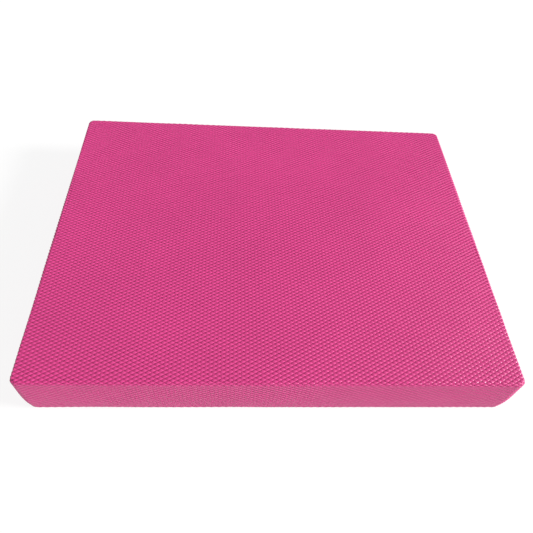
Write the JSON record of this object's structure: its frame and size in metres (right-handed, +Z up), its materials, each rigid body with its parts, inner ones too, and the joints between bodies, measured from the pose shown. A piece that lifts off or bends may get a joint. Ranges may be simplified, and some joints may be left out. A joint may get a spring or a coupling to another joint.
{
  "type": "foam balance pad",
  "caption": "Low rectangular closed-cell foam pad with rounded edges and a diamond-embossed skin, laid flat on the floor and stood on for balance practice.",
  "frame": {"origin": "centre of the underside", "axes": "+X along the length, +Y along the depth, +Z up out of the standing face"},
  "size_m": [0.45, 0.35, 0.06],
  "materials": {
    "embossed_skin": "satin, embossed with small diamonds",
    "foam_core": "matte closed-cell foam"
  },
  "bodies": {
    "root": {"bottom_skin": "embossed_skin", "core_lower": "foam_core", "core_middle": "foam_core", "core_upper": "foam_core", "side_skin": "embossed_skin", "top_skin": "embossed_skin"}
  },
  "joints": []
}
